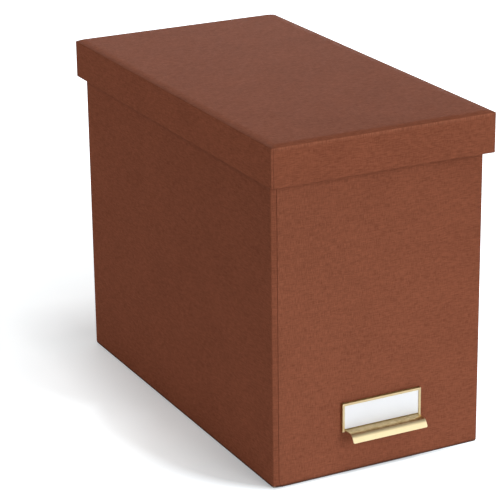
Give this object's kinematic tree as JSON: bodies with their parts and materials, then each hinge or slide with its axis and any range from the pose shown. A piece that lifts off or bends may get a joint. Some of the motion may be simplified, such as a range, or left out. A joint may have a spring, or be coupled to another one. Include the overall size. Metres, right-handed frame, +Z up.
{
  "type": "document organizer",
  "caption": "Tall paper-covered document box with a lift-off lid, a brass card holder with a finger pull on one end, and rails inside for hanging files.",
  "frame": {"origin": "on the floor, under the middle of the box's base", "axes": "+Z up, -Y out of the end with the card holder, +X to the right of someone facing that end"},
  "size_m": [0.188, 0.3605, 0.27],
  "materials": {
    "linen_paper": "rust linen-weave covering paper, matte with a slight sheen",
    "base_paper": "black base paper",
    "lining_paper": "plain off-white lining paper",
    "greyboard": "solid greyboard",
    "brass": "satin",
    "rail_steel": "zinc plated",
    "rod_steel": "zinc plated",
    "folder_card": "buff manila",
    "card": "bare white card",
    "clear_plastic": "clear"
  },
  "bodies": {
    "box": {"base_board": "greyboard", "left_board": "greyboard", "right_board": "greyboard", "front_board": "greyboard", "rear_board": "greyboard", "body_wrap": "linen_paper", "left_lining": "lining_paper", "right_lining": "lining_paper", "front_lining": "lining_paper", "rear_lining": "lining_paper", "base_liner": "lining_paper", "base_cover": "base_paper", "front_rail": "rail_steel", "rear_rail": "rail_steel", "label_frame": "brass", "pull_plate": "brass", "holder_rivets": "brass", "rivet_washers": "rail_steel"},
    "lid": {"lid_top_board": "greyboard", "lid_left_board": "greyboard", "lid_right_board": "greyboard", "lid_front_board": "greyboard", "lid_rear_board": "greyboard", "lid_wrap": "linen_paper", "lid_lining": "lining_paper"},
    "card": {"label_card": "card"},
    "folder_1": {"folder_1_pocket": "folder_card", "folder_1_rods": "rod_steel", "folder_1_tab": "clear_plastic", "folder_1_insert": "card"},
    "folder_2": {"folder_2_pocket": "folder_card", "folder_2_rods": "rod_steel", "folder_2_tab": "clear_plastic", "folder_2_insert": "card"},
    "folder_3": {"folder_3_pocket": "folder_card", "folder_3_rods": "rod_steel", "folder_3_tab": "clear_plastic", "folder_3_insert": "card"},
    "folder_4": {"folder_4_pocket": "folder_card", "folder_4_rods": "rod_steel", "folder_4_tab": "clear_plastic", "folder_4_insert": "card"},
    "folder_5": {"folder_5_pocket": "folder_card", "folder_5_rods": "rod_steel", "folder_5_tab": "clear_plastic", "folder_5_insert": "card"},
    "folder_6": {"folder_6_pocket": "folder_card", "folder_6_rods": "rod_steel", "folder_6_tab": "clear_plastic", "folder_6_insert": "card"}
  },
  "joints": [
    {"name": "lid_lift", "type": "slide", "parent": "box", "child": "lid", "axis": [0, 0, 1], "range_m": [0, 0.3]},
    {"name": "card_slide", "type": "slide", "parent": "box", "child": "card", "axis": [0, 0, 1], "range_m": [0, 0.024]},
    {"name": "folder_1_slide", "type": "slide", "parent": "box", "child": "folder_1", "axis": [1, 0, 0], "range_m": [-0.0135, 0.0135]},
    {"name": "folder_2_slide", "type": "slide", "parent": "box", "child": "folder_2", "axis": [1, 0, 0], "range_m": [-0.0135, 0.0135]},
    {"name": "folder_3_slide", "type": "slide", "parent": "box", "child": "folder_3", "axis": [1, 0, 0], "range_m": [-0.0135, 0.0135]},
    {"name": "folder_4_slide", "type": "slide", "parent": "box", "child": "folder_4", "axis": [1, 0, 0], "range_m": [-0.0135, 0.0135]},
    {"name": "folder_5_slide", "type": "slide", "parent": "box", "child": "folder_5", "axis": [1, 0, 0], "range_m": [-0.0135, 0.0135]},
    {"name": "folder_6_slide", "type": "slide", "parent": "box", "child": "folder_6", "axis": [1, 0, 0], "range_m": [-0.0135, 0.0135]}
  ]
}
